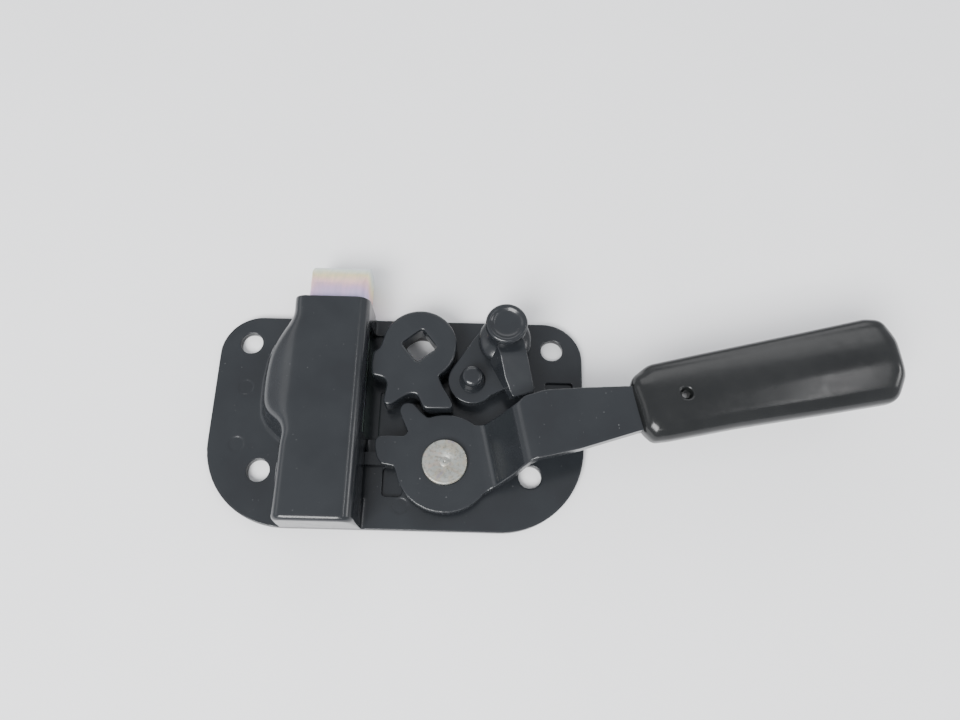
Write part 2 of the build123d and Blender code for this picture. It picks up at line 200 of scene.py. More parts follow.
def stack(name: str, levels: Sequence[tuple[float, Outline]]) -> bpy.types.Object:
    """Pull an outline up through several levels, each with its own shape.

    Args:
        name: name of the new object.
        levels: height and outline of each level, all with the same number of points.

    Returns:
        The closed solid.
    """
    deselect()
    bpy.ops.mesh.primitive_circle_add(vertices=len(levels[0][1]), fill_type="NGON")
    piece = bpy.context.object
    piece.name = name
    bpy.ops.object.mode_set(mode="EDIT")
    for index, (height, outline) in enumerate(levels):
        if index:
            bpy.ops.mesh.extrude_region_move(TRANSFORM_OT_translate={"value": (0, 0, MM)})
        mesh = bmesh.from_edit_mesh(piece.data)
        mesh.verts.ensure_lookup_table()
        top = [v for v in mesh.verts if v.select] if index else list(mesh.verts)
        for vertex, (x, y) in zip(top, outline):
            vertex.co = Vector((x, y, height)) * MM
        bmesh.update_edit_mesh(piece.data)
    bpy.ops.mesh.select_all(action="SELECT")
    bpy.ops.mesh.normals_make_consistent(inside=False)
    bpy.ops.object.mode_set(mode="OBJECT")
    return piece


def turned(name: str, centre: Point, profile: Outline, steps: int = 72) -> bpy.types.Object:
    """Spin a profile about an upright axis, as on a lathe.

    Args:
        name: name of the new object.
        centre: the axis in plan.
        profile: radius and height of each point, from the axis at the bottom to the axis at the top.
        steps: pieces round the axis.

    Returns:
        The closed solid.
    """
    deselect()
    bpy.ops.mesh.primitive_circle_add(vertices=len(profile), fill_type="NOTHING")
    piece = bpy.context.object
    piece.name = name
    for vertex, (radius, height) in zip(piece.data.vertices, profile):
        vertex.co = Vector((centre[0] + radius, centre[1], height)) * MM
    bpy.ops.object.mode_set(mode="EDIT")
    mesh = bmesh.from_edit_mesh(piece.data)
    mesh.edges.ensure_lookup_table()
    for edge in mesh.edges:
        on_axis = all(abs(v.co.x - centre[0] * MM) < 1e-7 for v in edge.verts)
        edge.select_set(on_axis)
    bmesh.update_edit_mesh(piece.data)
    bpy.ops.mesh.delete(type="EDGE")
    bpy.ops.mesh.select_all(action="SELECT")
    axis_spot = (centre[0] * MM, centre[1] * MM, 0)
    bpy.ops.mesh.spin(steps=steps, angle=math.tau, center=axis_spot, axis=(0, 0, 1))
    bpy.ops.mesh.select_all(action="SELECT")
    bpy.ops.mesh.remove_doubles(threshold=1e-6)
    bpy.ops.mesh.normals_make_consistent(inside=False)
    bpy.ops.object.mode_set(mode="OBJECT")
    return piece


def apply_modifier(piece: bpy.types.Object, kind: str, **settings: object) -> None:
    """Add a modifier with its settings and apply it."""
    pick(piece)
    modifier = piece.modifiers.new(kind.lower(), kind)
    for key, value in settings.items():
        setattr(modifier, key, value)
    bpy.ops.object.modifier_apply(modifier=modifier.name)


def combine(piece: bpy.types.Object, other: bpy.types.Object, how: Join) -> None:
    """Combine a solid with another one, which is used up."""
    apply_modifier(piece, "BOOLEAN", operation=how.value, object=other, solver="EXACT")
    bpy.data.objects.remove(other)


def drill(piece: bpy.types.Object, centre: Point, radius: float, low: float, high: float) -> None:
    """Cut a round upright hole through a solid."""
    combine(piece, pull("drill", ring(centre, radius), low, high), Join.CUT)


def soften(piece: bpy.types.Object, rounds: int, where: Callable[[Vector], float] | None = None) -> None:
    """Relax a mesh, all over or where a weight says.

    Args:
        piece: the mesh object.
        rounds: passes of smoothing.
        where: weight from a place in millimetres, or nothing for the whole piece.
    """
    passes = rounds
    settings: dict[str, object] = {"factor": 0.5, "iterations": passes}
    if where:
        group = piece.vertex_groups.new(name="soft")
        for vertex in piece.data.vertices:
            weight = where(vertex.co / MM)
            if weight > 0:
                group.add([vertex.index], min(weight, 1.0), "REPLACE")
        settings["vertex_group"] = group.name
    apply_modifier(piece, "SMOOTH", **settings)
    if where:
        piece.vertex_groups.clear()


def skin(piece: bpy.types.Object, grain: float) -> None:
    """Rebuild a solid's surface as one even skin of small faces."""
    pick(piece)
    piece.data.remesh_voxel_size = grain * MM * 1.0
    bpy.ops.object.voxel_remesh()


def settle(piece: bpy.types.Object, keep: float) -> None:
    """Thin out the flat areas of a skin and shade it smooth."""
    share = keep * 1.0
    apply_modifier(piece, "DECIMATE", ratio=min(1.0, share))
    pick(piece)
    bpy.ops.object.shade_smooth()


def bevel_where(piece: bpy.types.Object, width: float, steps: int,
                test: Callable[[Vector, Vector], bool]) -> None:
    """Bevel the edges that a test picks.

    Args:
        piece: the mesh object.
        width: width of the bevel in millimetres.
        steps: pieces across the bevel.
        test: given both ends of an edge in millimetres, says whether it is bevelled.
    """
    pick(piece)
    bpy.ops.object.mode_set(mode="EDIT")
    bpy.ops.mesh.select_mode(type="EDGE")
    bpy.ops.mesh.select_all(action="DESELECT")
    mesh = bmesh.from_edit_mesh(piece.data)
    for edge in mesh.edges:
        if test(edge.verts[0].co / MM, edge.verts[1].co / MM):
            edge.select_set(True)
    bmesh.update_edit_mesh(piece.data)
    bpy.ops.mesh.bevel(offset=width * MM, segments=steps, profile=0.5)
    bpy.ops.mesh.select_mode(type="VERT")
    bpy.ops.object.mode_set(mode="OBJECT")


def publish(piece: bpy.types.Object, body: str, nodes: Sequence[str],
            look: bpy.types.Material) -> None:
    """Dress a finished piece and hand it to the frame.

    Args:
        piece: the finished mesh object.
        body: the body it rides on.
        nodes: the plain solids it stands for.
        look: its material.
    """
    piece.data.materials.clear()
    piece.data.materials.append(look)
    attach(piece, body)
    if nodes:
        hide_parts(*nodes)
    log.info("%s: %d faces, rides on %s", piece.name, len(piece.data.polygons), body)


# ---- finishes ------------------------------------------------------------------------------

class Mixture:
    """A material's node tree, with short ways to add and join nodes."""

    def __init__(self, name: str) -> None:
        """Start a material with an empty surface shader."""
        self.material = bpy.data.materials.new(name)
        self.material.use_nodes = True
        self.tree = self.material.node_tree
        self.shader = self.tree.nodes["Principled BSDF"]
        self.place = self.add("ShaderNodeTexCoord").outputs["Object"]

    def add(self, kind: str, **settings: object) -> bpy.types.Node:
        """Add a node and set its properties."""
        node = self.tree.nodes.new(kind)
        for key, value in settings.items():
            setattr(node, key, value)
        return node

    def join(self, start: bpy.types.NodeSocket, end: bpy.types.NodeSocket) -> None:
        """Link two sockets."""
        self.tree.links.new(start, end)

    def set(self, **values: object) -> None:
        """Set inputs of the surface shader; underscores stand for spaces."""
        for key, value in values.items():
            self.shader.inputs[key.replace("_", " ")].default_value = value

    def noise(self, scale: float, detail: float = 2.0, rough: float = 0.5, stretch: Colour = (1, 1, 1),
              distortion: float = 0.0) -> bpy.types.NodeSocket:
        """Add a noise pattern.

        Args:
            scale: features per metre.
            detail: octaves.
            rough: strength of the finer octaves.
            stretch: how much finer the pattern is along each axis.
            distortion: how much the pattern is stirred.

        Returns:
            The socket with values from 0 to 1.
        """
        mapping = self.add("ShaderNodeMapping")
        mapping.inputs["Scale"].default_value = stretch
        self.join(self.place, mapping.inputs["Vector"])
        node = self.add("ShaderNodeTexNoise")
        node.inputs["Scale"].default_value = scale
        node.inputs["Detail"].default_value = detail
        node.inputs["Roughness"].default_value = rough
        node.inputs["Distortion"].default_value = distortion
        self.join(mapping.outputs["Vector"], node.inputs["Vector"])
        return node.outputs["Fac"]

    def ramp(self, source: bpy.types.NodeSocket,
             stops: Sequence[tuple[float, Colour]]) -> bpy.types.NodeSocket:
        """Turn a value into a colour through a row of stops."""
        node = self.add("ShaderNodeValToRGB")
        bar = node.color_ramp.elements
        while len(bar) < len(stops):
            bar.new(0.5)
        for element, (spot, colour) in zip(bar, stops):
            element.position = spot
            element.color = (*colour, 1.0)
        self.join(source, node.inputs["Fac"])
        return node.outputs["Color"]

    def span(self, source: bpy.types.NodeSocket, low: float, high: float, start: float = 0.3,
             end: float = 0.7) -> bpy.types.NodeSocket:
        """Stretch a value from one range to another."""
        node = self.add("ShaderNodeMapRange")
        for key, value in (("From Min", start), ("From Max", end), ("To Min", low), ("To Max", high)):
            node.inputs[key].default_value = value
        self.join(source, node.inputs["Value"])
        return node.outputs["Result"]

    def blend(self, first: bpy.types.NodeSocket, second: bpy.types.NodeSocket,
              share: bpy.types.NodeSocket | float, kind: str = "MIX") -> bpy.types.NodeSocket:
        """Mix two colours."""
        node = self.add("ShaderNodeMix", data_type="RGBA", blend_type=kind)
        if isinstance(share, float):
            node.inputs["Factor"].default_value = share
        else:
            self.join(share, node.inputs["Factor"])
        self.join(first, node.inputs["A"])
        self.join(second, node.inputs["B"])
        return node.outputs["Result"]

    def bump(self, source: bpy.types.NodeSocket, depth: float, strength: float = 1.0,
             under: bpy.types.NodeSocket | None = None) -> bpy.types.NodeSocket:
        """Add relief of a depth in millimetres, on top of other relief if given."""
        node = self.add("ShaderNodeBump")
        node.inputs["Strength"].default_value = strength
        node.inputs["Distance"].default_value = depth * MM
        self.join(source, node.inputs["Height"])
        if under:
            self.join(under, node.inputs["Normal"])
        self.join(node.outputs["Normal"], self.shader.inputs["Normal"])
        return node.outputs["Normal"]


@dataclass(frozen=True)
class DipPaint:
    """Thick dark grey dip paint with slight runs and a few specks of dust."""

    name: str = "dip_paint"
    dark: Colour = (0.0125, 0.0140, 0.0162)
    light: Colour = (0.0160, 0.0180, 0.0205)
    low_rough: float = 0.17
    high_rough: float = 0.25

    def mix(self) -> bpy.types.Material:
        """Build the material."""
        mixture = Mixture(self.name)
        cloud = mixture.noise(45, 3)
        base = mixture.ramp(cloud, [(0.35, self.dark), (0.65, self.light)])
        speck = mixture.noise(1400, 1, 0.3)
        dust = mixture.ramp(speck, [(0.80, (0, 0, 0)), (0.84, (0.35, 0.35, 0.35))])
        mixture.join(mixture.blend(base, dust, 0.35, "ADD"), mixture.shader.inputs["Base Color"])
        haze = mixture.noise(160, 4, 0.6)
        mixture.join(mixture.span(haze, self.low_rough, self.high_rough), mixture.shader.inputs["Roughness"])
        mixture.set(IOR=1.42, Coat_Weight=0.08, Coat_Roughness=0.12)
        runs = mixture.bump(mixture.noise(120, 1), 0.10, 0.35)
        mixture.bump(mixture.noise(700, 2, 0.5), 0.010, 0.5, runs)
        return mixture.material


@dataclass(frozen=True)
class BoltZinc:
    """Zinc plate on the bolt with pale rainbow bands across its nose, from start to end along y."""

    name: str = "bolt_zinc"
    start: float = 42.0
    end: float = 63.0

    def mix(self) -> bpy.types.Material:
        """Build the material."""
        mixture = Mixture(self.name)
        parts = mixture.add("ShaderNodeSeparateXYZ")
        mixture.join(mixture.place, parts.inputs["Vector"])
        along = mixture.span(parts.outputs["Y"], 0.0, 1.0, self.start * MM, self.end * MM)
        drift = mixture.span(mixture.noise(60, 2), -0.10, 0.10)
        shifted = mixture.add("ShaderNodeMath", operation="ADD")
        mixture.join(along, shifted.inputs[0])
        mixture.join(drift, shifted.inputs[1])
        bands = mixture.ramp(shifted.outputs[0], [
            (0.00, (0.40, 0.52, 0.44)), (0.14, (0.50, 0.46, 0.66)), (0.32, (0.66, 0.46, 0.66)),
            (0.48, (0.86, 0.56, 0.52)), (0.64, (0.88, 0.76, 0.46)), (0.80, (0.74, 0.78, 0.64)),
            (0.92, (0.68, 0.71, 0.71)), (1.0, (0.64, 0.67, 0.68))])
        streaks = mixture.noise(220, 3, 0.6, (3, 0.6, 1))
        smear = mixture.ramp(streaks, [(0.35, (0.86, 0.90, 0.92)), (0.65, (1, 1, 1))])
        colour = mixture.blend(bands, smear, 1.0, "MULTIPLY")
        mixture.join(colour, mixture.shader.inputs["Base Color"])
        mixture.join(mixture.span(mixture.noise(300, 4, 0.7), 0.40, 0.52), mixture.shader.inputs["Roughness"])
        mixture.set(Metallic=0.7)
        mixture.bump(mixture.noise(1800, 2, 0.5, (1, 0.15, 1)), 0.006, 0.6)
        return mixture.material


@dataclass(frozen=True)
class RivetZinc:
    """Whitish zinc on the rivet's head, with faint turning rings about its middle."""

    centre: Point
    name: str = "rivet_zinc"

    def mix(self) -> bpy.types.Material:
        """Build the material."""
        mixture = Mixture(self.name)
        mapping = mixture.add("ShaderNodeMapping")
        mapping.inputs["Location"].default_value = (-self.centre[0] * MM, -self.centre[1] * MM, 0)
        mixture.join(mixture.place, mapping.inputs["Vector"])
        flat = mixture.add("ShaderNodeVectorMath", operation="MULTIPLY")
        flat.inputs[1].default_value = (1, 1, 0)
        mixture.join(mapping.outputs["Vector"], flat.inputs[0])
        length = mixture.add("ShaderNodeVectorMath", operation="LENGTH")
        mixture.join(flat.outputs["Vector"], length.inputs[0])
        rings = mixture.add("ShaderNodeTexNoise", noise_dimensions="1D")
        rings.inputs["Scale"].default_value = 1700
        rings.inputs["Detail"].default_value = 3
        mixture.join(length.outputs["Value"], rings.inputs["W"])
        stain = mixture.noise(190, 3, 0.6, distortion=0.6)
        tint = mixture.ramp(stain, [(0.30, (0.31, 0.29, 0.34)), (0.45, (0.41, 0.38, 0.31)),
                                    (0.55, (0.35, 0.37, 0.35)), (0.70, (0.38, 0.32, 0.27))])
        marks = mixture.ramp(mixture.noise(700, 4, 0.7), [(0.34, (0.55, 0.54, 0.52)), (0.50, (1, 1, 1))])
        mixture.join(mixture.blend(tint, marks, 0.8, "MULTIPLY"), mixture.shader.inputs["Base Color"])
        mixture.join(mixture.span(stain, 0.30, 0.46), mixture.shader.inputs["Roughness"])
        mixture.set(Metallic=0.8)
        mixture.bump(rings.outputs["Fac"], 0.035, 0.8)
        return mixture.material


@dataclass(frozen=True)
class GripPlastic:
    """Dipped soft plastic of the grip: satin, with faint creases."""

    name: str = "grip_plastic"

    def mix(self) -> bpy.types.Material:
        """Build the material."""
        mixture = Mixture(self.name)
        cloud = mixture.noise(35, 3, 0.6)
        base = mixture.ramp(cloud, [(0.35, (0.0060, 0.0066, 0.0068)), (0.65, (0.0095, 0.0102, 0.0104))])
        mixture.join(base, mixture.shader.inputs["Base Color"])
        wear = mixture.noise(240, 4, 0.65)
        mixture.join(mixture.span(wear, 0.15, 0.25), mixture.shader.inputs["Roughness"])
        mixture.set(IOR=1.44)
        soft = mixture.bump(mixture.noise(60, 2), 0.25, 0.25)
        mixture.bump(mixture.noise(600, 3, 0.6), 0.012, 0.5, soft)
        return mixture.material


@dataclass(frozen=True)
class PlainSteel:
    """Oiled steel of the inner pieces and wires."""

    name: str
    tone: Colour

    def mix(self) -> bpy.types.Material:
        """Build the material."""
        mixture = Mixture(self.name)
        dark = tuple(0.7 * c for c in self.tone)
        mixture.join(mixture.ramp(mixture.noise(260, 4, 0.6), [(0.35, dark), (0.65, self.tone)]),
                     mixture.shader.inputs["Base Color"])
        mixture.join(mixture.span(mixture.noise(500, 3), 0.30, 0.45), mixture.shader.inputs["Roughness"])
        mixture.set(Metallic=1.0)
        mixture.bump(mixture.noise(1500, 2), 0.005, 0.5)
        return mixture.material


@dataclass(frozen=True)
class FloorPaper:
    """Pale sheet the latch lies on."""

    name: str = "floor_paper"

    def mix(self) -> bpy.types.Material:
        """Build the material."""
        mixture = Mixture(self.name)
        cloud = mixture.noise(6, 4, 0.6)
        base = mixture.ramp(cloud, [(0.30, (0.86, 0.86, 0.865)), (0.70, (0.90, 0.90, 0.905))])
        mixture.join(base, mixture.shader.inputs["Base Color"])
        mixture.set(Roughness=0.6)
        mixture.bump(mixture.noise(40, 5, 0.6), 0.15, 0.2)
        return mixture.material


@dataclass
class Finishes:
    """The finishes of every piece, mixed once."""

    pivot: Point = PIVOT
    paint: bpy.types.Material = field(init=False)
    zinc: bpy.types.Material = field(init=False)
    rivet: bpy.types.Material = field(init=False)
    grip: bpy.types.Material = field(init=False)
    wire: bpy.types.Material = field(init=False)
    steel: bpy.types.Material = field(init=False)

    def __post_init__(self) -> None:
        """Mix the materials."""
        self.paint = DipPaint().mix()
        self.zinc = BoltZinc().mix()
        self.rivet = RivetZinc(self.pivot).mix()
        self.grip = GripPlastic().mix()
        self.wire = PlainSteel("spring_wire", (0.30, 0.31, 0.32)).mix()
        self.steel = PlainSteel("inner_steel", (0.42, 0.42, 0.43)).mix()

    def dress_frame(self, frame: dict) -> None:
        """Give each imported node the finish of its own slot."""
        looks = {"dip_paint": self.paint, "zinc_bolt": self.zinc, "zinc_rivet": self.rivet,
                 "grip_plastisol": self.grip, "spring_steel": self.wire, "inner_steel": self.steel}
        for part in frame["record"]["subparts"]:
            node = frame["nodes"][part["node"]]
            for place in node.material_slots:
                place.material = looks[part["material_slot"]]


# ---- sub-assemblies ------------------------------------------------------------------------

@dataclass
class Case:
    """The two-sheet plate with the drawn channel, its side bulge and the windows."""

    finishes: Finishes
    half_width: float = 75.0
    half_height: float = 43.4
    sheet: float = 1.5
    left: float = -42.4
    right: float = -11.4
    top: float = 23.5
    mouth: float = 45.2
    lean: float = 0.5
    flare: float = 2.4
    grain: float = 0.42
    holes: tuple[Point, ...] = ((62.5, 31.7), (-62.5, 31.7), (53.5, -21.6), (-53.5, -21.6))
    hole_radius: float = 4.5
    weld_marks: tuple[Point, ...] = ((-63.4, -11.3), (3.2, -34.1), (-62.5, 12.5))
    weld_radius: float = 3.0
    weld_depth: float = 0.24
    spindle: Point = SPINDLE
    spindle_hole: float = 7.5
    window_top: float = 15.8
    lip_ends: Point = (-70.3, 10.7)
    bulge_ends: Point = (-9.0, 38.5)

    @property
    def flat_top(self) -> float:
        """Return the height of the front sheet's flat face."""
        return 2 * self.sheet

    def plate_outline(self, inset: float = 0.0) -> Outline:
        """Return the plate's outline, taken in by an inset."""
        w = self.half_width - inset
        h = self.half_height - inset
        near = 33.5 - inset
        far = 16.5 - inset
        return rounded([(w, h), (-w, h), (-w, -h), (w, -h)], [far, far, near, near], 16)

    def channel(self) -> bpy.types.Object:
        """Make the channel's outside, flared at its foot, with a rounded closed end."""
        z = self.flat_top
        corners = [(self.left - self.flare, self.sheet), (self.right + self.flare, self.sheet),
                   (self.right + self.flare, z), (self.right, z), (self.right - self.lean, self.top),
                   (self.left + self.lean, self.top), (self.left, z), (self.left - self.flare, z)]
        section = rounded(corners, [0, 0, 0, 2.2, 5.2, 4.8, 2.2, 0], 10)
        back = -self.half_height + 0.15
        body = pull("front_case", section, back, self.mouth, Plane.SECTION)
        bevel_where(body, 2.0, 6, lambda a, b: max(a.y, b.y) < back + 0.15 and min(a.z, b.z) > z + 1.5)
        return body

    def bulge_levels(self, inset: float) -> list[tuple[float, Outline]]:
        """Return the bulge's outline at each height, from the flared foot to above its roof."""
        base = [(-34, 46), (-38.0, 45.4), (-44.6, 40.4), (-50.2, 31.6), (-53.5, 24.2), (-54.3, 15.0),
                (-54.3, 6.5), (-53.7, 0.8), (-51.4, -3.4), (-47.6, -6.9), (-43.0, -10.3), (-34, -14)]
        high = [(-34, 41), (-37.6, 41.4), (-42.0, 37.8), (-47.3, 30.1), (-50.4, 23.7), (-51.5, 15.0),
                (-51.6, 7.0), (-51.2, 1.9), (-49.6, -1.2), (-46.4, -4.3), (-42.0, -7.9), (-34, -12)]
        shape = [0, 0, 8, 10, 10, 10, 8, 7, 6, 8, 6, 0]
        base_height, high_height = 3.0, 17.0
        flares = ((self.sheet, 2.0), (3.05, 2.0), (3.3, 1.3), (3.8, 0.7), (4.6, 0.25), (5.8, 0.0),
                  (high_height, 0.0), (26.0, 0.0))
        levels = []
        middle = Vector((-40.0, 14.0))
        for height, out in flares:
            share = (height - base_height) / (high_height - base_height)
            points = []
            for low, up in zip(base, high):
                spot = Vector(low).lerp(Vector(up), share)
                away = (spot - middle).normalized()
                points.append(tuple(spot + away * (out - inset)))
            levels.append((height, rounded(points, shape, 5)))
        return levels

    def bulge(self, inset: float) -> bpy.types.Object:
        """Make the bulge as a solid under its sloping roof."""
        levels = self.bulge_levels(inset)
        if inset:
            levels = [(0.5, levels[1][1])] + levels[2:]
        body = stack("bulge", levels)
        drop = inset * 1.1      # the hollow's roof lies this much lower
        slide = inset * 0.6     # and its slope this much further in
        roof = [(-70, -3.0 - drop), (-54.6 + slide, 12.6 - drop), (-50.6 + slide, 17.6 - drop),
                (-44.5 + slide, 20.9 - drop), (-38.4, 24.0 - drop), (-34.0, 24.1 - drop), (-34.0, 60),
                (-70, 60)]
        shape = rounded(roof, [0, 5.0, 6.0, 14.0, 4.0, 0, 0, 0], 6)
        combine(body, pull("roof", shape, -60, 90, Plane.SECTION), Join.CUT)
        # the hollow runs out past the mouth, and the outside stops just short of it
        limit = self.mouth + (3 if inset else -0.07)
        inner = -36
        keep = [(-80, -60), (inner, -60), (inner, limit), (-80, limit)]
        combine(body, pull("keep", keep, -5, self.top - drop), Join.KEEP)
        return body

    def hollow(self) -> bpy.types.Object:
        """Make the channel's inside as a solid, open at the mouth and at the back."""
        z = self.flat_top
        corners = [(self.left + self.sheet, 0), (self.right - self.sheet, 0),
                   (self.right - self.sheet, z), (self.right - self.sheet - self.lean, self.top - self.sheet),
                   (self.left + self.sheet + self.lean, self.top - self.sheet), (self.left + self.sheet, z)]
        section = rounded(corners, [0, 0, 0, 2.9, 2.6, 0], 8)
        return pull("hollow", section, -self.half_height + 0.2 + self.sheet, 50, Plane.SECTION)

    def windows(self, case: bpy.types.Object) -> None:
        """Cut the side window, the lug's slot and the two slots in the flat."""
        z = self.flat_top
        side = [(-15.6, -8.0), (-7.4, -8.0), (-7.4, 11.5), (-5.6, 11.5), (-5.6, 16.8), (-7.4, 16.8),
                (-7.4, 36.5), (-15.6, 36.5)]
        shape = rounded(side, [0, 1.2, 0.8, 0.8, 0.8, 0.8, 1.2, 0], 5)
        combine(case, pull("window", shape, 0.5, self.window_top), Join.CUT)
        slot = [(-15.6, -31.8), (-10.2, -31.8), (-10.2, -13.2), (-15.6, -13.2)]
        combine(case, pull("slot", slot, z, 6.6), Join.CUT)
        foot = [(-4.3, -30.5), (3.5, -30.5), (3.5, -19.1), (-4.3, -19.1)]
        combine(case, pull("foot", rounded(foot, 1.6, 6), 0.5, z + 1), Join.CUT)
        stop = [(59.8, 14.4), (70.8, 14.4), (70.8, 17.4), (59.8, 17.4)]
        combine(case, pull("stop", rounded(stop, 0.8, 5), 0.5, z + 1), Join.CUT)

    def trim_mouth(self, case: bpy.types.Object) -> None:
        """Cut away what lies past the plate's edge, below the channel's mouth and beside it."""
        edge = self.half_height - 0.04      # a hair off the plate's edge, so no two faces share a plane
        past = edge + 9
        left, right = self.lip_ends
        lip = [(left, edge), (right, edge), (right, past), (left, past)]
        combine(case, pull("lip", lip, -2, self.flat_top - 0.03), Join.CUT)
        foot = self.right - 0.3
        flank = [(foot, edge), (right, edge), (right, past), (foot, past)]
        combine(case, pull("flank", flank, -2, 14), Join.CUT)

    def build(self) -> None:
        """Make the front case and dress it."""
        z = self.flat_top
        case = self.channel()
        combine(case, pull("flat", self.plate_outline(), self.sheet, z), Join.ADD)
        combine(case, self.bulge(0.0), Join.ADD)
        combine(case, self.hollow(), Join.CUT)
        combine(case, self.bulge(self.sheet), Join.CUT)
        self.trim_mouth(case)
        self.windows(case)
        for hole in self.holes:
            drill(case, hole, self.hole_radius, 0, 6)
        drill(case, self.spindle, self.spindle_hole, 0, 6)
        for mark in self.weld_marks:
            drill(case, mark, self.weld_radius, z - self.weld_depth, z + 1)
        skin(case, self.grain)
        soften(case, 5)
        soften(case, 500, self.bulge_weight)
        soften(case, 40, self.blend_weight)
        settle(case, 0.40)
        publish(case, "case", ["front_case"], self.finishes.paint)

    def bulge_weight(self, spot: Vector) -> float:
        """Weigh how round a place is drawn: the bulge's roof and shoulders most of all."""
        foot = 5.0
        inner = self.left + 5.5
        front = self.half_height - 1.5
        if spot.z < foot or spot.x > inner or not -13.0 < spot.y < front:
            return 0.0
        rise = min((spot.z - foot) / 3.0, 1.0)
        inward = min((inner - spot.x) / 3.0, 1.0)
        far = min((front - spot.y) / 4.0, 1.0)
        return rise * inward * far

    def blend_weight(self, spot: Vector) -> float:
        """Weigh how much the paint has filled a place: the corners between channel, bulge and flat."""
        above_flat = spot.z >= self.flat_top + 0.2
        by_wall = abs(spot.x - self.left) < 5.0
        by_end = min(abs(spot.y - end) for end in self.bulge_ends) < 6.0
        return 1.0 if above_flat and by_wall and by_end else 0.0


@dataclass
class Bolt:
    """The zinc-plated bolt with its ramped nose."""

    finishes: Finishes
    sides: Point = (-36.8, -13.6)
    heights: Point = (1.9, 21.4)
    tip: float = 62.6
    tail: float = -20.0
    nose: float = 15.5
    nose_reach: float = 14.0
    nose_sweep: float = 64.6
    edge: float = 3.6
    bore: float = 6.6

    def build(self) -> None:
        """Make the bolt and dress it."""
        low, high = self.heights
        centre = (self.tip - self.nose_reach, high - self.nose)
        arc = [polar(centre, self.nose, 90 - self.nose_sweep * i / 20) for i in range(21)]
        side = [(self.tail, low), (self.tip, low)] + arc[::-1] + [(self.tail, high)]
        body = pull("bolt", side, self.sides[0], self.sides[1], Plane.SIDE)
        bar = [(self.sides[0], low), (self.sides[1], low), (self.sides[1], high), (self.sides[0], high)]
        hull = pull("bar", rounded(bar, [0.8, 0.8, self.edge, self.edge], 10), -30, 80, Plane.SECTION)
        combine(body, hull, Join.KEEP)
        wing = [(-35.5, 33.0), (-41.4, 33.0), (-46.4, 25.0), (-47.6, 20.0), (-47.6, 12.0), (-35.5, 12.0)]
        combine(body, pull("wing", rounded(wing, 1.0, 4), low + 0.4, 12.5), Join.ADD)
        middle = (sum(self.sides) / 2, sum(self.heights) / 2)
        combine(body, pull("bore", ring(middle, self.bore, 48), -30, 10.0, Plane.SECTION), Join.CUT)
        lug = [(-17.6, -18.8), (-10, -18.8), (-10, -13.8), (-17.6, -13.8)]
        combine(body, pull("lug_seat", lug, 3.5, 5.9), Join.CUT)
        apply_modifier(body, "BEVEL", width=0.45 * MM, segments=3, limit_method="ANGLE",
                       angle_limit=math.radians(28), harden_normals=False)
        pick(body)
        bpy.ops.object.shade_smooth_by_angle(angle=math.radians(32))
        publish(body, "bolt", ["bolt"], self.finishes.zinc)


